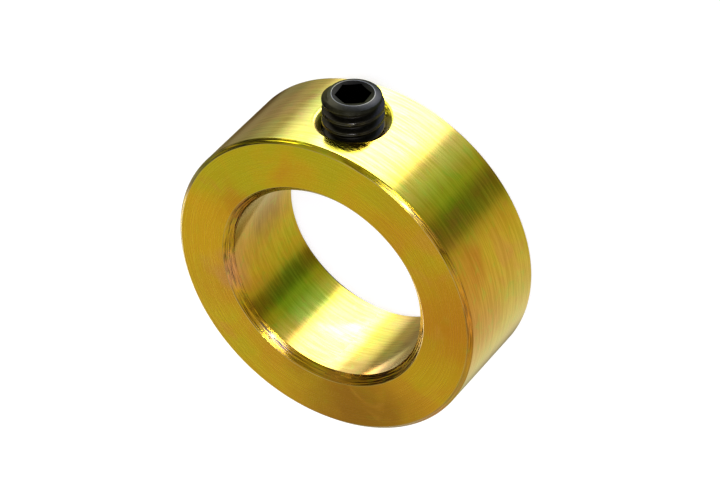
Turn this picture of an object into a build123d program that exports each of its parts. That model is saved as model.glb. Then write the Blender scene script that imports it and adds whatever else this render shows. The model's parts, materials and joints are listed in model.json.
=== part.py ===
from build123d import *
import math
import os

# Shaft collar held by one set screw, in millimetres.
# The origin is the bore's centre at half the width. Z is the collar's axis, X the screw's, outward.

# Collar ring
bore_d = 22.225
wall = 6.35
collar_width = 12.7
bore_chamfer = 0.85
rim_chamfer = 0.45

# Tapped hole through the wall, drawn at the crest of the screw's thread
thread_clearance = 0.05
countersink_d = 8.4
countersink_angle = 90

# Set screw, drawn at its thread's major diameter
screw_d = 6.35
screw_length = 6.35
screw_proud = 2.97
head_rim_d = 5.68
head_slope = 22
head_chamfer_angle = 45
cup_d = 3.2
cup_angle = 118
point_chamfer_angle = 45

# Hexagon socket in the screw's head, turned from having two corners to the sides
socket_flats = 3.24
socket_turn = 36
socket_depth = 2.8
socket_mouth_d = 4.4
socket_mouth_angle = 150
drill_angle = 118

# How far a cutting tool runs past the face that it cuts
overrun = 1.0

bore_r = bore_d / 2
collar_r = bore_r + wall
screw_r = screw_d / 2
head_x = collar_r + screw_proud
tip_x = head_x - screw_length
along_screw = Plane(origin=(0, 0, 0), x_dir=(0, 1, 0), z_dir=(1, 0, 0))


def cone_height(radius, full_angle):
    """Height of a cone from its point to where it has this radius."""
    return radius / math.tan(math.radians(full_angle / 2))


def ring_blank():
    """The ring as it comes off the lathe: bored, faced and chamfered on all four edges."""
    section = Pos(bore_r + wall / 2, 0) * Rectangle(wall, collar_width)
    section = chamfer(section.vertices().sort_by(Axis.X)[:2], bore_chamfer)
    section = chamfer(section.vertices().sort_by(Axis.X)[-2:], rim_chamfer)
    return revolve(Plane.XZ * section, Axis.Z)


def screw_hole():
    """The hole through one wall, with the countersink that breaks its outer edge."""
    hole_r = screw_r + thread_clearance
    length = collar_r + overrun
    hole = along_screw * Cylinder(hole_r, length, align=(Align.CENTER, Align.CENTER, Align.MIN))
    top_r = countersink_d / 2 + overrun * math.tan(math.radians(countersink_angle / 2))
    height = cone_height(top_r, countersink_angle)
    sink = Cone(0, top_r, height, align=(Align.CENTER, Align.CENTER, Align.MAX))
    return hole + along_screw * Pos(0, 0, collar_r + overrun) * sink


def collar_ring():
    """The turned ring with its tapped hole."""
    return ring_blank() - screw_hole()


def screw_blank():
    """The screw's round form: cup point, thread's envelope, chamfer and sloping head face."""
    cup_r = cup_d / 2
    cup_depth = cone_height(cup_r, cup_angle)
    point_length = (screw_r - cup_r) / math.tan(math.radians(point_chamfer_angle))
    head_rim_r = head_rim_d / 2
    mouth_r = socket_mouth_d / 2
    face_drop = (head_rim_r - mouth_r) * math.tan(math.radians(head_slope))
    chamfer_drop = (screw_r - head_rim_r) * math.tan(math.radians(head_chamfer_angle))
    outline = Polyline(
        (tip_x + cup_depth, 0),
        (tip_x, cup_r),
        (tip_x + point_length, screw_r),
        (head_x - face_drop - chamfer_drop, screw_r),
        (head_x - face_drop, head_rim_r),
        (head_x, mouth_r),
        (head_x, 0),
        close=True,
    )
    return revolve(make_face(outline), Axis.X)


def hexagon_socket():
    """The socket's space: a hexagon with a drilled bottom and a bevelled mouth."""
    hexagon = RegularPolygon(socket_flats / 2, 6, major_radius=False, rotation=socket_turn)
    socket = extrude(hexagon, socket_depth + overrun)
    drill_height = cone_height(socket_flats / 2, drill_angle)
    drill = Cone(0, socket_flats / 2, drill_height, align=(Align.CENTER, Align.CENTER, Align.MAX))
    mouth_r = socket_mouth_d / 2
    mouth_height = cone_height(mouth_r, socket_mouth_angle)
    mouth = Cone(0, mouth_r, mouth_height, align=(Align.CENTER, Align.CENTER, Align.MAX))
    space = socket + drill + Pos(0, 0, socket_depth) * mouth
    return along_screw * Pos(0, 0, head_x - socket_depth) * space


def set_screw():
    """The set screw, backed out of the wall as far as the collar is supplied."""
    return screw_blank() - hexagon_socket()


os.makedirs("parts", exist_ok=True)
export_step(collar_ring(), "parts/collar_ring.step")
export_step(set_screw(), "parts/set_screw.step")
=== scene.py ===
import json
import math

import bmesh
import bpy
from mathutils import Matrix, Vector


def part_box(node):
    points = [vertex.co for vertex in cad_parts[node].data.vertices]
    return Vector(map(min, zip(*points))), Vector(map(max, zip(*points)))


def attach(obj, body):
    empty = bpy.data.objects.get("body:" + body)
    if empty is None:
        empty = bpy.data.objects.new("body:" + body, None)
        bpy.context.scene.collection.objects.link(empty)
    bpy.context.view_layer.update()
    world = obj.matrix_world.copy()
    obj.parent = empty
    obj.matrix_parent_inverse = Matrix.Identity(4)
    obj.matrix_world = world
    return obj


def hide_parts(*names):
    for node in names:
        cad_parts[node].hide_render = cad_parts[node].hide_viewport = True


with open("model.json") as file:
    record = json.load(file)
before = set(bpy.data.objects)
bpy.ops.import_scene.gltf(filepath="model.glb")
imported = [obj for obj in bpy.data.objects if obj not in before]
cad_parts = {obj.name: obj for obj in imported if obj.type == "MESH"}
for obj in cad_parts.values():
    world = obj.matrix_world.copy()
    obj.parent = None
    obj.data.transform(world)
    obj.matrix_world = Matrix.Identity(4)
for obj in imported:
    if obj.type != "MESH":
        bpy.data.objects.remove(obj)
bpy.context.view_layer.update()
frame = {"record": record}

MM = 0.001

# Ring: places from the frame, and the sizes that the frame doesn't give. The normals of faces
# within the margin of a wall are set to the wall's, and edges turned by more degrees are sharp
ring_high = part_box("collar_ring")[1]
RING_R = ring_high[1]
HALF_WIDTH = ring_high[2]
BORE_R = next(m for m in frame["record"]["mounts"] if m["name"] == "bore")["dims"]["r_mm"] * MM
BORE_CHAMFER = 0.85 * MM
RIM_CHAMFER = 0.45 * MM
EDGE_BREAK = 0.09 * MM
RING_STEPS = 720
WALL_MARGIN = 0.01 * MM
RING_SHARP = 28

# Tapped hole: its thread ends below the countersink, where a real one would run on to it. The
# countersink's broken edge is pulled back towards the sharp one by a share, so that it is round
COUNTERSINK_R = 4.2 * MM
SINK_BREAK = 0.14 * MM
SINK_PULL = 0.3
SINK_TOP = RING_R + 2.0 * MM
SINK_FLARE = Vector((1.5, 1.0)) * MM
THREAD_GAP = 0.05 * MM
TAP_START = BORE_R - 1.2 * MM
TAP_END = RING_R - 1.7 * MM

# Set screw: places from the frame, and the sizes that the frame doesn't give
screw_low, screw_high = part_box("set_screw")
SCREW_R = screw_high[1]
TIP_X = screw_low[0]
HEAD_X = screw_high[0]
HEAD_RIM_R = 2.84 * MM
HEAD_SLOPE = math.radians(22)
MOUTH_R = 2.2 * MM
MOUTH_SLOPE = math.radians(15)
SCREW_EDGE = 0.03 * MM
SCREW_SHARP = 34
SOCKET_FLATS = 3.24 * MM
SOCKET_TURN = math.radians(36)
SOCKET_DEPTH = 2.8 * MM
DRILL_HALF_ANGLE = math.radians(59)
CUP_R = 1.6 * MM
CUP_HALF_ANGLE = math.radians(59)
RIM_X = HEAD_X - (HEAD_RIM_R - MOUTH_R) * math.tan(HEAD_SLOPE)

# Thread: 20 to the inch, right hand, rolled, so each crest has a shallow seam along its middle.
# Half a pitch as (distance along the screw, depth below the crest) in mm
PITCH = 1.27 * MM
THREAD_START = 0.56 * MM
HALF_THREAD = [
    (0.0, 0.045),
    (0.03, 0.035),
    (0.06, 0.012),
    (0.095, 0.0),
    (0.13, 0.008),
    (0.16, 0.026),
    (0.19, 0.058),
    (0.215, 0.10),
    (0.33, 0.30),
    (0.44, 0.49),
    (0.49, 0.55),
    (0.55, 0.575),
    (0.635, 0.585),
]
RUNOUT = 0.2 * MM
OVERRUN = 1.0 * MM
STEPS_ROUND = 150

# Camera, as the photo was taken: its place, the directions that are right, down and away in the
# photo, and its lens
CAMERA_PLACE = Vector((232.9, -154.6, 250.7)) * MM
PHOTO_RIGHT = Vector((-0.0056, -0.85449, -0.51944))
PHOTO_DOWN = Vector((-0.78516, -0.31793, 0.53146))
PHOTO_AWAY = Vector((-0.61927, 0.41082, -0.66913))
LENS_MM = 183.2
SENSOR_MM = 36


def link(mesh, name):
    """A new object that holds this mesh."""
    obj = bpy.data.objects.new(name, mesh)
    bpy.context.scene.collection.objects.link(obj)
    return obj


def mesh_from(name, points, faces):
    """A mesh of these points and faces, with doubled points merged and its faces turned outward."""
    mesh = bpy.data.meshes.new(name)
    bm = bmesh.new()
    verts = [bm.verts.new(p) for p in points]
    for face in faces:
        bm.faces.new([verts[i] for i in face])
    bmesh.ops.remove_doubles(bm, verts=bm.verts, dist=1e-8)
    bmesh.ops.dissolve_degenerate(bm, edges=bm.edges, dist=1e-8)
    bmesh.ops.recalc_face_normals(bm, faces=bm.faces)
    bm.to_mesh(mesh)
    bm.free()
    return mesh


def rounded(corners, radius, steps):
    """A closed outline with each of its corners turned into a small arc."""
    outline = []
    count = len(corners)
    for i, corner in enumerate(corners):
        here = Vector(corner)
        before = (Vector(corners[i - 1]) - here).normalized()
        after = (Vector(corners[(i + 1) % count]) - here).normalized()
        half = before.angle(after) / 2
        reach = radius / math.tan(half)
        centre = here + (before + after).normalized() * radius / math.sin(half)
        first = here + before * reach - centre
        last = here + after * reach - centre
        for k in range(steps + 1):
            arm = first.slerp(last, k / steps)
            outline.append(centre + arm.normalized() * radius)
    return outline


def ring_blank():
    """The turned ring without its hole."""
    section = [
        (BORE_R, -HALF_WIDTH + BORE_CHAMFER),
        (BORE_R + BORE_CHAMFER, -HALF_WIDTH),
        (RING_R - RIM_CHAMFER, -HALF_WIDTH),
        (RING_R, -HALF_WIDTH + RIM_CHAMFER),
        (RING_R, HALF_WIDTH - RIM_CHAMFER),
        (RING_R - RIM_CHAMFER, HALF_WIDTH),
        (BORE_R + BORE_CHAMFER, HALF_WIDTH),
        (BORE_R, HALF_WIDTH - BORE_CHAMFER),
    ]
    outline = rounded(section, EDGE_BREAK, 3)
    count = len(outline)
    points = []
    faces = []
    for j in range(RING_STEPS):
        turn = 2 * math.pi * j / RING_STEPS
        points += [(r * math.cos(turn), r * math.sin(turn), z) for r, z in outline]
        after = (j + 1) % RING_STEPS
        for i in range(count):
            k = (i + 1) % count
            faces.append((j * count + i, after * count + i, after * count + k, j * count + k))
    return mesh_from("ring_blank", points, faces)


def thread_rows():
    """One pitch of thread as (distance from the crest's middle, depth)."""
    rows = [(s * MM, d * MM) for s, d in HALF_THREAD]
    return rows + [(PITCH - s, d) for s, d in reversed(rows[1:-1])]


def helix_wall(start, end, radius):
    """Points and faces of a threaded wall from start to end. radius(x, depth) is its form."""
    first = math.floor((start - THREAD_START) / PITCH) - 1
    last = math.ceil((end - THREAD_START) / PITCH) + 1
    levels = [(THREAD_START + t * PITCH + s, d) for t in range(first, last) for s, d in thread_rows()]
    points = []
    faces = []
    columns = STEPS_ROUND + 1
    for x_row, depth in levels:
        for j in range(columns):
            share = j / STEPS_ROUND
            x = min(max(x_row + share * PITCH, start), end)
            r = radius(x, depth)
            turn = 2 * math.pi * share
            points.append((x, r * math.cos(turn), r * math.sin(turn)))
    for i in range(len(levels) - 1):
        for j in range(STEPS_ROUND):
            a = i * columns + j
            faces.append((a, a + 1, a + columns + 1, a + columns))
    return points, faces


def circle(x, radius):
    """Points of one ring round the screw's axis. Either value may be a function of the angle."""
    turns = [2 * math.pi * j / STEPS_ROUND for j in range(STEPS_ROUND)]
    points = []
    for turn in turns:
        r = radius(turn) if callable(radius) else radius
        points.append((x(turn) if callable(x) else x, r * math.cos(turn), r * math.sin(turn)))
    return points


def skin(points, faces, rings, close_end):
    """Adds rings of points and the faces between them, and closes the last ring to a point."""
    first = len(points)
    for ring in rings:
        points.extend(ring)
    for i in range(len(rings) - 1):
        for j in range(STEPS_ROUND):
            k = (j + 1) % STEPS_ROUND
            a = first + i * STEPS_ROUND
            b = a + STEPS_ROUND
            faces.append((a + j, a + k, b + k, b + j))
    last = first + (len(rings) - 1) * STEPS_ROUND
    points.append(close_end)
    tip = len(points) - 1
    for j in range(STEPS_ROUND):
        faces.append((last + j, last + (j + 1) % STEPS_ROUND, tip))


def hexagon_r(turn):
    """Radius of the socket's hexagon at this angle."""
    side = (turn - SOCKET_TURN) % (math.pi / 3) - math.pi / 6
    return SOCKET_FLATS / 2 / math.cos(side)


def bevel_x(turn):
    """Where the bevel of the socket's mouth meets the hexagon at this angle."""
    return HEAD_X - (MOUTH_R - hexagon_r(turn)) * math.tan(MOUTH_SLOPE)


def threaded_rod(name, start, thread_end, end, crest_r):
    """A rod with the thread on it from start to thread_end, and plain from there to its end."""
    def radius(x, depth):
        inside = min(x - start, thread_end - x)
        return crest_r - depth * min(max(inside / RUNOUT, 0), 1)

    points, faces = helix_wall(start, end, radius)
    for x in (start, end):
        skin(points, faces, [circle(x, crest_r)], (x, 0, 0))
    return mesh_from(name, points, faces)


def screw_blank():
    """The screw without its thread, too wide for it between the point's chamfer and the head's."""
    points = []
    faces = []
    cup_x = TIP_X + CUP_R / math.tan(CUP_HALF_ANGLE)
    cup = [circle(TIP_X, CUP_R), circle((TIP_X + cup_x) / 2, CUP_R / 2)]
    skin(points, faces, cup, (cup_x, 0, 0))
    wide_r = SCREW_R + RUNOUT
    bottom_x = HEAD_X - SOCKET_DEPTH
    drill_x = bottom_x - SOCKET_FLATS / 2 / math.tan(DRILL_HALF_ANGLE)
    slope = math.tan(HEAD_SLOPE)
    bevel = math.tan(MOUTH_SLOPE)
    sides = [
        circle(TIP_X, CUP_R),
        circle(TIP_X + wide_r - CUP_R, wide_r),
        circle(RIM_X - wide_r + HEAD_RIM_R, wide_r),
        circle(RIM_X - SCREW_EDGE, HEAD_RIM_R + SCREW_EDGE),
        circle(RIM_X + SCREW_EDGE * slope, HEAD_RIM_R - SCREW_EDGE),
        circle(HEAD_X - SCREW_EDGE * slope, MOUTH_R + SCREW_EDGE),
        circle(HEAD_X - SCREW_EDGE * slope * 0.3, MOUTH_R),
        circle(HEAD_X - SCREW_EDGE * bevel, MOUTH_R - SCREW_EDGE),
        circle(bevel_x, hexagon_r),
        circle(bottom_x, hexagon_r),
        circle(bottom_x, SOCKET_FLATS / 2),
    ]
    skin(points, faces, sides, (drill_x, 0, 0))
    return mesh_from("screw_blank", points, faces)


def sink_mesh():
    """The countersink's cone, to be cut out of the ring, with the edge that it leaves broken."""
    tip = RING_R - COUNTERSINK_R
    rings = [[], [], [], [], []]
    for j in range(STEPS_ROUND):
        turn = 2 * math.pi * j / STEPS_ROUND
        side = math.cos(turn)
        spread_out = 1 + side * side
        reach = math.sqrt(tip * tip - spread_out * (tip * tip - RING_R * RING_R))
        edge = Vector((tip, 0)) + Vector((1, 1)) * (reach - tip) / spread_out
        low = edge - Vector((1, 1)) * SINK_BREAK
        high_r = edge.y + SINK_BREAK
        high = Vector((math.sqrt(RING_R * RING_R - (high_r * side) ** 2), high_r))
        middle = (low + high) * (1 - SINK_PULL) / 2 + edge * SINK_PULL
        over = high + SINK_FLARE
        top = Vector((SINK_TOP, over.y))
        for ring, (x, r) in zip(rings, (top, over, high, middle, low)):
            ring.append((x, r * math.cos(turn), r * math.sin(turn)))
    points = []
    faces = []
    skin(points, faces, rings, (tip, 0, 0))
    skin(points, faces, [rings[0]], (SINK_TOP, 0, 0))
    return mesh_from("sink_mesh", points, faces)


def combine(target, mesh, operation):
    """Cuts target's mesh with another: DIFFERENCE takes its space away, INTERSECT keeps only that."""
    cutter = link(mesh, "cutter")
    boolean = target.modifiers.new("cut", "BOOLEAN")
    boolean.operation = operation
    boolean.solver = "EXACT"
    boolean.object = cutter
    depsgraph = bpy.context.evaluated_depsgraph_get()
    result = bpy.data.meshes.new_from_object(target.evaluated_get(depsgraph))
    target.modifiers.remove(boolean)
    target.data = result
    bpy.data.objects.remove(cutter)


def smooth_by_angle(mesh, degrees):
    """Smooth shading with edges sharper than this left sharp."""
    bm = bmesh.new()
    bm.from_mesh(mesh)
    for face in bm.faces:
        face.smooth = True
    for edge in bm.edges:
        turned = edge.calc_face_angle(0.0) if len(edge.link_faces) == 2 else math.pi
        edge.smooth = turned < math.radians(degrees)
    bm.to_mesh(mesh)
    bm.free()


def true_normals(mesh):
    """Sets the normals of the turned faces to those of the exact surfaces, across cut facets too."""
    normals = []
    for poly in mesh.polygons:
        centre = poly.center
        radial = Vector((centre.x, centre.y, 0)).normalized()
        out = poly.normal.dot(radial)
        level = abs(poly.normal.z)
        radius = math.hypot(centre.x, centre.y)
        on_wall = radius > RING_R - WALL_MARGIN or radius < BORE_R + WALL_MARGIN
        for k in poly.loop_indices:
            p = mesh.vertices[mesh.loops[k].vertex_index].co
            if on_wall and abs(out) > 0.999:
                normals.append(Vector((p.x, p.y, 0)).normalized() * (1 if out > 0 else -1))
            elif level > 0.9999:
                normals.append(Vector((0, 0, 1 if poly.normal.z > 0 else -1)))
            else:
                normals.append(Vector((0, 0, 0)))
    mesh.normals_split_custom_set(normals)


def collar_ring():
    """The ring, cut by its tapped hole and countersink."""
    ring = link(ring_blank(), "collar")
    tap = threaded_rod("tap", TAP_START, TAP_END, RING_R + OVERRUN, SCREW_R + THREAD_GAP)
    combine(ring, tap, "DIFFERENCE")
    combine(ring, sink_mesh(), "DIFFERENCE")
    smooth_by_angle(ring.data, RING_SHARP)
    true_normals(ring.data)
    return ring


def set_screw():
    """The set screw: its thread runs out through the chamfers at both ends."""
    start = TIP_X - OVERRUN
    end = HEAD_X + OVERRUN
    screw = link(threaded_rod("rod", start, end, end, SCREW_R), "screw")
    combine(screw, screw_blank(), "INTERSECT")
    smooth_by_angle(screw.data, SCREW_SHARP)
    weighted = screw.modifiers.new("weighted", "WEIGHTED_NORMAL")
    weighted.keep_sharp = True
    return screw


def direction(azimuth, elevation):
    """Unit vector at this azimuth from +X towards +Y and this height above the floor, in degrees."""
    a = math.radians(azimuth)
    e = math.radians(elevation)
    return Vector((math.cos(a) * math.cos(e), math.sin(a) * math.cos(e), math.sin(e)))


def node(tree, kind, inputs=(), **settings):
    """A new node with these settings, and its inputs set to values or linked to sockets."""
    made = tree.nodes.new(kind)
    for key, value in settings.items():
        setattr(made, key, value)
    for key, value in dict(inputs).items():
        socket = made.inputs[key]
        if isinstance(value, bpy.types.NodeSocket):
            tree.links.new(value, socket)
        else:
            socket.default_value = value
    return made


def math_node(tree, operation, *values):
    """The result of one sum."""
    return node(tree, "ShaderNodeMath", enumerate(values), operation=operation).outputs[0]


def vector_sum(tree, operation, *values):
    """The result of one sum of vectors or colours."""
    return node(tree, "ShaderNodeVectorMath", enumerate(values), operation=operation).outputs[0]


def vector_measure(tree, operation, first, second):
    """One number measured from two vectors, such as their distance or dot product."""
    inputs = {0: first, 1: second}
    return node(tree, "ShaderNodeVectorMath", inputs, operation=operation).outputs["Value"]


def split(tree, vector):
    """The three parts of a vector."""
    return node(tree, "ShaderNodeSeparateXYZ", {"Vector": vector}).outputs


def length_of(tree, first, second):
    """The length of the flat vector with these two parts."""
    squares = [math_node(tree, "MULTIPLY", part, part) for part in (first, second)]
    return math_node(tree, "SQRT", math_node(tree, "ADD", *squares))


def spread(tree, value, low, high, to_low=0.0, to_high=1.0):
    """A value taken smoothly from one range to another and held at its ends."""
    limits = {"Value": value, "From Min": low, "From Max": high, "To Min": to_low, "To Max": to_high}
    return node(tree, "ShaderNodeMapRange", limits, interpolation_type="SMOOTHSTEP").outputs[0]


def noise(tree, place, scale, detail, distortion=0.0):
    """Soft noise about 0.5 at this place."""
    inputs = {"Vector": place, "Scale": scale, "Detail": detail, "Distortion": distortion}
    return node(tree, "ShaderNodeTexNoise", inputs).outputs["Fac"]


def blend(tree, factor, first, second):
    """The first colour turned into the second by this factor."""
    made = node(tree, "ShaderNodeMix", data_type="RGBA")
    for socket, value in ((made.inputs[0], factor), (made.inputs[6], first), (made.inputs[7], second)):
        if isinstance(value, bpy.types.NodeSocket):
            tree.links.new(value, socket)
        else:
            socket.default_value = (*value, 1)
    return made.outputs[2]


def ramp(tree, factor, stops):
    """A colour ramp through (place, colour) stops."""
    made = node(tree, "ShaderNodeValToRGB", {"Fac": factor})
    made.color_ramp.interpolation = "B_SPLINE"
    elements = made.color_ramp.elements
    while len(elements) < len(stops):
        elements.new(0.5)
    for element, (place, colour) in zip(elements, stops):
        element.position = place
        element.color = (*colour, 1)
    return made.outputs["Color"]


def new_material(name):
    """An empty material, its node tree and its surface shader."""
    material = bpy.data.materials.new(name)
    material.use_nodes = True
    tree = material.node_tree
    return material, tree, tree.nodes["Principled BSDF"]


BLACK = (0.0, 0.0, 0.0)
WHITE = (1.0, 1.0, 1.0)

# The zinc's film: its colours from greener to more orange, then those of its patches and streaks, the brown
# partly painted shade
FILM = [
    (0.34, (0.37, 0.32, 0.005)),
    (0.45, (0.44, 0.305, 0.005)),
    (0.56, (0.45, 0.28, 0.006)),
    (0.68, (0.45, 0.23, 0.012)),
]
ORANGE = (0.40, 0.15, 0.004)
BROWN_FILM_AND_SHADE = (0.22, 0.09, 0.003)
ROSE = (0.44, 0.21, 0.09)
GOLD = (0.52, 0.29, 0.006)
GREEN = (0.22, 0.34, 0.012)
PALE_ROSE = (0.45, 0.22, 0.035)
WARM_STREAK = (0.44, 0.20, 0.02)
WORN_CORNER = (0.44, 0.37, 0.20)

# Large soft patches in the film's colour, the two brown ones partly painted shade: centre in mm, reach in
# mm, colour, strength
PATCHES = [
    ((1.0, -15.5, 9.0), 10.5, ORANGE, 0.75),
    # Painted shade: darker brown over the −X side of the upper end and the walls near it
    ((-15.5, -4.5, 9.0), 12.0, BROWN_FILM_AND_SHADE, 0.9),
    ((-8.5, 7.1, 0.0), 5.5, GREEN, 0.7),
    ((12.0, -12.5, 1.0), 5.5, GREEN, 0.3),
    ((7.0, -16.0, 3.5), 3.5, ORANGE, 0.6),
    ((14.5, -9.0, -3.0), 4.0, ROSE, 0.1),
    ((3.0, 10.7, -3.5), 6.0, ROSE, 0.35),
    # Partly brown film, partly painted shade: darker inside the bore towards +Y
    ((3.0, 10.7, 0.5), 8.0, BROWN_FILM_AND_SHADE, 0.8),
    ((2.0, 14.0, 6.3), 8.0, GOLD, 0.8),
    ((11.0, -9.5, 6.3), 6.0, ORANGE, 0.3),
    ((6.5, 9.5, 6.0), 4.5, ORANGE, 0.7),
    ((-2.5, 11.5, 6.5), 3.5, ROSE, 0.8),
    ((-9.5, -5.5, -4.5), 3.5, ROSE, 0.3),
]

# Noise drawn out round the ring, by how fast it changes along radius and height, per metre, and
# turn, per radian: fine turning marks, and the wider streaks of the film
MARKS = (7000.0, 4500.0, 4.0)
STREAKS = (1100.0, 1100.0, 12.0)


class Ring:
    """Where a point of the ring is, and masks for which surface it is on, as sockets."""

    def __init__(self, tree):
        coordinates = node(tree, "ShaderNodeTexCoord").outputs
        self.place = coordinates["Object"]
        self.x, self.y, self.z = split(tree, self.place)
        self.radius = length_of(tree, self.x, self.y)
        self.turn = math_node(tree, "ARCTAN2", self.y, self.x)
        # How far the surface faces along the axis: 0 on a wall, 0.71 on a chamfer, 1 on a flat end
        level = math_node(tree, "ABSOLUTE", split(tree, coordinates["Normal"])[2])
        self.flat = spread(tree, level, 0.985, 0.998)
        self.chamfer = math_node(tree, "MULTIPLY", spread(tree, level, 0.4, 0.6),
                                 spread(tree, level, 0.8, 0.9, 1.0, 0.0))
        self.corner = math_node(tree, "MULTIPLY", spread(tree, level, 0.78, 0.86),
                                spread(tree, level, 0.985, 0.998, 1.0, 0.0))
        self.bore = spread(tree, self.radius, BORE_R + 0.02 * MM, BORE_R + 0.3 * MM, 1.0, 0.0)
        from_screw = length_of(tree, self.y, self.z)
        self.sink = math_node(tree, "MULTIPLY", spread(tree, from_screw, 4.1 * MM, 4.25 * MM, 1.0, 0.0),
                              spread(tree, self.x, 0.0, RING_R * 0.7))
        # Streaks are strong on the walls and weak on the flat ends
        self.streaky = math_node(tree, "MULTIPLY_ADD", self.flat, -0.75, 1.0)

    def drawn_out(self, tree, scales):
        """A place for noise that is drawn out round the ring."""
        across = zip((self.radius, self.z, self.turn), scales)
        parts = [math_node(tree, "MULTIPLY", value, scale) for value, scale in across]
        return node(tree, "ShaderNodeCombineXYZ", enumerate(parts)).outputs[0]


def zinc_film(tree, ring):
    """The film's colour: greener towards +X, more orange away from it, with patches and streaks, and
    painted shade in the bore and on the upper end's −X side.
    """
    lean = vector_measure(tree, "DOT_PRODUCT", ring.place, direction(20, 0) / RING_R)
    tone = math_node(tree, "MULTIPLY_ADD", lean, -0.11, noise(tree, ring.place, 150.0, 4.0, 0.6))
    film = ramp(tree, tone, FILM)

    # The patches' outlines wander by up to 3.5 mm
    wander = node(tree, "ShaderNodeTexNoise", {"Vector": ring.place, "Scale": 220.0, "Detail": 3.0})
    wander = vector_sum(tree, "MULTIPLY_ADD", wander.outputs["Color"], (0.007, 0.007, 0.007), ring.place)
    wander = vector_sum(tree, "SUBTRACT", wander, (0.0035, 0.0035, 0.0035))
    for centre, reach, colour, share in PATCHES:
        away = vector_measure(tree, "DISTANCE", wander, Vector(centre) * MM)
        near = spread(tree, away, 0.2 * reach * MM, reach * MM, share, 0.0)
        film = blend(tree, near, film, colour)

    elsewhere = vector_sum(tree, "ADD", ring.place, (0.05, 0.02, 0.07))
    rose = spread(tree, noise(tree, elsewhere, 190.0, 4.0, 0.9), 0.56, 0.72, 0.0, 0.6)
    film = blend(tree, rose, film, PALE_ROSE)
    streaks = noise(tree, ring.drawn_out(tree, STREAKS), 1.0, 5.0, 0.6)
    warm = math_node(tree, "MULTIPLY", ring.streaky, spread(tree, streaks, 0.54, 0.7, 0.0, 0.3))
    cool = math_node(tree, "MULTIPLY", ring.streaky, spread(tree, streaks, 0.46, 0.3, 0.0, 0.3))
    film = blend(tree, warm, film, WARM_STREAK)
    film = blend(tree, cool, film, GREEN)
    film = blend(tree, math_node(tree, "MULTIPLY", ring.corner, 0.7), film, WORN_CORNER)
    # Painted shade: the bore's film taken a tenth of the way to black, as if shaded inside
    return blend(tree, math_node(tree, "MULTIPLY", ring.bore, 0.1), film, BLACK)


def zinc_material():
    """Yellow passivated zinc on turned steel: gold with green and rose patches and turning marks."""
    material, tree, shader = new_material("yellow_zinc")
    ring = Ring(tree)
    across = ring.drawn_out(tree, MARKS)
    marks = noise(tree, across, 1.0, 3.0)

    # The marks show as faint dark lines, hardly at all on the flat ends
    lines = math_node(tree, "MULTIPLY_ADD", math_node(tree, "SUBTRACT", 1.0, ring.flat), 0.14, 0.02)
    lines = math_node(tree, "MULTIPLY", lines, spread(tree, marks, 0.35, 0.65, 1.0, 0.0))
    film = blend(tree, lines, zinc_film(tree, ring), BLACK)
    tree.links.new(film, shader.inputs["Base Color"])

    # They are cut deepest in the bore, and the chamfers have coarse grooves as well
    strength = math_node(tree, "MULTIPLY_ADD", ring.flat, -0.05, 0.07)
    strength = math_node(tree, "MULTIPLY_ADD", ring.bore, 0.1, strength)
    bump = node(tree, "ShaderNodeBump", {"Height": marks, "Strength": strength, "Distance": 0.03 * MM})
    grooves = {"Height": noise(tree, across, 0.6, 2.0), "Strength": ring.chamfer,
               "Distance": 0.15 * MM, "Normal": bump.outputs[0]}
    bump = node(tree, "ShaderNodeBump", grooves)
    tree.links.new(bump.outputs[0], shader.inputs["Normal"])

    # Flat ends and countersink are duller than the walls
    rough = spread(tree, marks, 0.3, 0.7, 0.11, 0.2)
    rough = math_node(tree, "MULTIPLY_ADD", ring.flat, 0.1, rough)
    rough = math_node(tree, "MULTIPLY_ADD", ring.sink, 0.22, rough)
    tree.links.new(rough, shader.inputs["Roughness"])

    # The film's clear surface, uneven along the marks and thinner in the bore
    coat = math_node(tree, "MULTIPLY_ADD", ring.streaky, spread(tree, marks, 0.35, 0.65, -0.12, 0.12), 0.29)
    thinner = math_node(tree, "MULTIPLY_ADD", ring.bore, -0.3, 1.0)
    tree.links.new(math_node(tree, "MULTIPLY", coat, thinner), shader.inputs["Coat Weight"])
    shader.inputs["Coat Roughness"].default_value = 0.15

    shader.inputs["Metallic"].default_value = 1.0
    shader.inputs["Anisotropic"].default_value = 0.4
    shader.inputs["Anisotropic Rotation"].default_value = 0.25
    tangent = node(tree, "ShaderNodeTangent", direction_type="RADIAL", axis="Z")
    tree.links.new(tangent.outputs[0], shader.inputs["Tangent"])
    return material


# Black oxide: darkest and lightest of its mottle, the thread's tint, its worn places, partly painted
# glints, and its painted socket shade
OXIDE = [
    (0.3, (0.017, 0.0163, 0.0094)),
    (0.7, (0.028, 0.0268, 0.0155)),
]
THREAD_TINT = (1.08, 1.04, 1.25)
WORN_CREST_AND_GLINT = (0.08, 0.076, 0.058)
WORN_MOUTH_AND_GLINT = (0.06, 0.056, 0.032)
SOCKET_SHADE = (0.0008, 0.0007, 0.0004)


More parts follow.
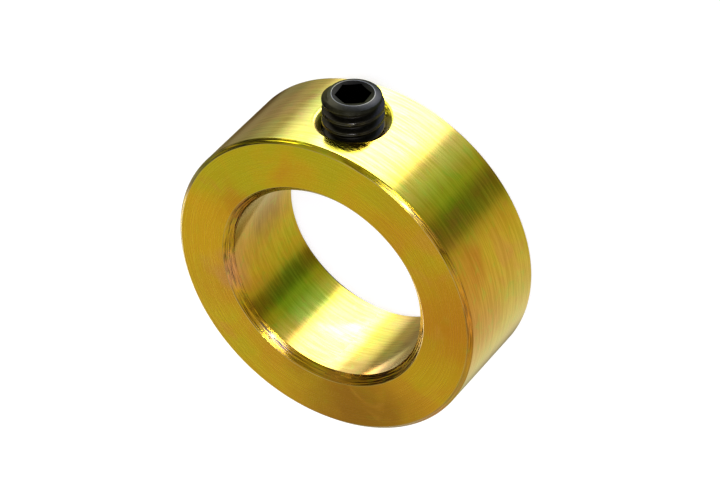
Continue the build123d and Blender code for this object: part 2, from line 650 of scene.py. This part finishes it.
def black_oxide_material():
    """Black oxide on alloy steel: near black satin with a faint mottle, painted shade in the thread's
    grooves and a painted near-black socket.
    """
    material, tree, shader = new_material("black_oxide")
    coordinates = node(tree, "ShaderNodeTexCoord").outputs
    place = coordinates["Object"]
    x, y, z = split(tree, place)
    outward = split(tree, coordinates["Normal"])[0]
    mottle = noise(tree, place, 2500.0, 5.0)
    from_axis = length_of(tree, y, z)
    depth = math_node(tree, "SUBTRACT", HEAD_X, x)

    # The socket's walls and bottom, and the bevel of its mouth, painted nearly black as shade
    walls = math_node(tree, "MAXIMUM", spread(tree, outward, 0.5, 0.2),
                      spread(tree, depth, 0.5 * MM, 0.8 * MM))
    socket = math_node(tree, "MULTIPLY", walls, spread(tree, from_axis, 1.9 * MM, 2.1 * MM, 1.0, 0.0))
    bevel = spread(tree, from_axis, MOUTH_R - 0.06 * MM, MOUTH_R - 0.02 * MM, 0.98, 0.0)
    socket = math_node(tree, "MAXIMUM", socket, bevel)

    # The thread's grooves, for painted shade, its worn crests, and the worn rim of the mouth
    thread = spread(tree, depth, 0.5 * MM, 0.9 * MM)
    groove_shade = spread(tree, from_axis, SCREW_R - 0.16 * MM, SCREW_R - 0.05 * MM, 0.5, 0.0)
    crest = spread(tree, from_axis, SCREW_R - 0.07 * MM, SCREW_R - 0.03 * MM)
    mouth = math_node(tree, "ABSOLUTE", math_node(tree, "SUBTRACT", from_axis, MOUTH_R))
    mouth = math_node(tree, "MULTIPLY", spread(tree, mouth, 0.02 * MM, 0.06 * MM, 1.0, 0.0),
                      spread(tree, depth, 0.06 * MM, 0.1 * MM, 1.0, 0.0))

    colour = ramp(tree, mottle, OXIDE)
    colour = vector_sum(tree, "MULTIPLY", colour, blend(tree, thread, WHITE, THREAD_TINT))
    # Painted shade: the thread's grooves taken up to half way to black
    colour = blend(tree, math_node(tree, "MULTIPLY", thread, groove_shade), colour, BLACK)
    # Painted shade: the socket and the bevel of its mouth nearly black
    colour = blend(tree, socket, colour, SOCKET_SHADE)
    # Worn crests and mouth rim paler: partly wear, partly painted glints
    colour = blend(tree, math_node(tree, "MULTIPLY", crest, 0.4), colour, WORN_CREST_AND_GLINT)
    colour = blend(tree, math_node(tree, "MULTIPLY", mouth, 0.45), colour, WORN_MOUTH_AND_GLINT)
    tree.links.new(colour, shader.inputs["Base Color"])

    # Worn places are polished
    worn = math_node(tree, "MAXIMUM", mouth, crest)
    rough = spread(tree, mottle, 0.2, 0.8, 0.34, 0.5)
    rough = math_node(tree, "MULTIPLY_ADD", worn, -0.26, rough)
    tree.links.new(rough, shader.inputs["Roughness"])
    shader.inputs["Metallic"].default_value = 1.0
    shader.inputs["Specular Tint"].default_value = (0.78, 0.76, 0.63, 1)
    bump = node(tree, "ShaderNodeBump", {"Height": mottle, "Strength": 0.2, "Distance": 0.03 * MM})
    tree.links.new(bump.outputs[0], shader.inputs["Normal"])
    return material


# The studio seen in the metal: dim round the horizon, lighter above and below it, white overhead
HORIZON = (0.36, 0.36, 0.42)
OPEN = (0.75, 0.73, 0.45)
DARKEST = (0.025, 0.022, 0.018)
# Soft round panels, and gaps where the strength is below zero: azimuth and height in degrees, how
# many degrees from there they are full and gone, colour
PANELS = [
    (12, -42, 8, 19, (9.0, 8.6, 0.0)),
    (12, -42, 10, 28, (8.5, 9.0, 25.0)),
    (12, -42, 20, 44, (0.50, 0.95, 2.6)),
    (50, -42, 4, 22, (1.8, 2.2, 2.4)),
    (43, -11, 6, 22, (6.2, 6.1, 6.8)),
    (4, -7, 5, 18, (0.9, 0.85, 0.85)),
    (134, 3, 6, 20, (5.2, 5.3, 5.6)),
    (112, -42, 6, 20, (-0.34, -0.38, -0.26)),
    (-135, -42, 15, 50, (0.43, 0.40, 0.16)),
    (-66, -42, 6, 12, (-0.24, -0.24, -0.18)),
    (-56, -42, 4, 26, (-0.22, -0.16, -0.12)),
    (-42, -42, 4, 16, (0.10, 0.26, 0.0)),
    (-25, 49, 2, 10, (13.0, 13.5, 24.0)),
    (-44, 49, 2, 8, (3.0, 3.0, 7.0)),
    (-37, 32, 9, 20, (-0.60, -0.58, -0.36)),
    (-110, 34, 8, 26, (0.72, 0.60, 0.60)),
    (-145, 18, 8, 28, (0.54, 0.50, 0.25)),
    (-146, 46, 6, 22, (-0.52, -0.50, -0.30)),
    (-72, 45, 6, 17, (-0.62, -0.62, -0.40)),
    (8, 46, 3, 14, (-0.50, -0.50, -0.35)),
    (74, 20, 10, 28, (-0.42, -0.42, -0.30)),
    (98, 3, 5, 16, (-0.14, -0.14, -0.25)),
    (181, -5, 8, 24, (0.45, 0.28, 0.0)),
    (146, -65, 18, 30, (-0.80, -0.80, -0.52)),
    (146, 42, 20, 50, (0.22, 0.19, -0.08)),
]


def studio():
    """The world: plain white to the camera, and soft panels round the object for its metal."""
    world = bpy.data.worlds.new("studio")
    bpy.context.scene.world = world
    world.use_nodes = True
    tree = world.node_tree
    towards = node(tree, "ShaderNodeTexCoord").outputs["Generated"]
    height = split(tree, towards)[2]
    light = blend(tree, spread(tree, math_node(tree, "ABSOLUTE", height), 0.1, 0.6), HORIZON, OPEN)
    light = blend(tree, spread(tree, height, 0.8, 0.95), light, WHITE)
    for azimuth, elevation, full, edge, colour in PANELS:
        near = vector_measure(tree, "DOT_PRODUCT", towards, direction(azimuth, elevation))
        share = spread(tree, near, math.cos(math.radians(edge)), math.cos(math.radians(full)))
        panel = node(tree, "ShaderNodeVectorMath", {0: colour, "Scale": share}, operation="SCALE")
        light = vector_sum(tree, "ADD", light, panel.outputs[0])
    light = vector_sum(tree, "MAXIMUM", light, DARKEST)
    seen = node(tree, "ShaderNodeLightPath").outputs["Is Camera Ray"]
    background = tree.nodes["Background"]
    tree.links.new(blend(tree, seen, light, WHITE), background.inputs["Color"])


# What the camera sees of the floor is part glow, which makes it white, and part lit floor, which
# carries the shadow
FLOOR_R = 3.0
FLOOR_GLOW_SHARE = 0.6
FLOOR_GLOW = 1.3


def floor():
    """Pale floor under the ring's lower end, white to the camera where no shadow falls."""
    bm = bmesh.new()
    bmesh.ops.create_circle(bm, cap_ends=True, segments=96, radius=FLOOR_R)
    bmesh.ops.translate(bm, verts=bm.verts, vec=(0, 0, -HALF_WIDTH))
    mesh = bpy.data.meshes.new("floor")
    bm.to_mesh(mesh)
    bm.free()
    obj = link(mesh, "floor")
    obj.visible_glossy = False
    material, tree, shader = new_material("floor")
    shader.inputs["Base Color"].default_value = (0.8, 0.8, 0.8, 1)
    shader.inputs["Roughness"].default_value = 0.9
    shader.inputs["Specular IOR Level"].default_value = 0.0
    glow = node(tree, "ShaderNodeEmission", {"Color": (1, 1, 1, 1), "Strength": FLOOR_GLOW})
    seen = node(tree, "ShaderNodeLightPath").outputs["Is Camera Ray"]
    share = math_node(tree, "MULTIPLY", seen, FLOOR_GLOW_SHARE)
    both = node(tree, "ShaderNodeMixShader", {0: share, 1: shader.outputs[0], 2: glow.outputs[0]})
    tree.links.new(both.outputs[0], tree.nodes["Material Output"].inputs["Surface"])
    mesh.materials.append(material)


def camera():
    """The camera at the photo's viewing angle, turned as the photo is."""
    data = bpy.data.cameras.new("camera")
    data.lens = LENS_MM
    data.sensor_width = SENSOR_MM
    data.clip_start = 0.01
    obj = bpy.data.objects.new("camera", data)
    bpy.context.scene.collection.objects.link(obj)
    turn = Matrix((PHOTO_RIGHT, -PHOTO_DOWN, -PHOTO_AWAY)).transposed()
    obj.matrix_world = Matrix.Translation(CAMERA_PLACE) @ turn.to_4x4()
    bpy.context.scene.camera = obj


def key_lamp():
    """A small soft lamp near the camera, for the glints on the worked edges."""
    lamp = bpy.data.lights.new("key_lamp", "AREA")
    lamp.shape = "DISK"
    lamp.size = 0.06
    lamp.energy = 1.4
    obj = bpy.data.objects.new("key_lamp", lamp)
    bpy.context.scene.collection.objects.link(obj)
    towards = direction(-36, 48)
    obj.location = towards * 0.8
    obj.rotation_euler = towards.to_track_quat("Z", "Y").to_euler()


camera()
studio()
key_lamp()
floor()

collar = collar_ring()
collar.data.materials.clear()
collar.data.materials.append(zinc_material())
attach(collar, "collar")
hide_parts("collar_ring")

screw = set_screw()
screw.data.materials.clear()
screw.data.materials.append(black_oxide_material())
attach(screw, "screw")
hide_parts("set_screw")

bpy.context.scene.view_settings.view_transform = "Standard"
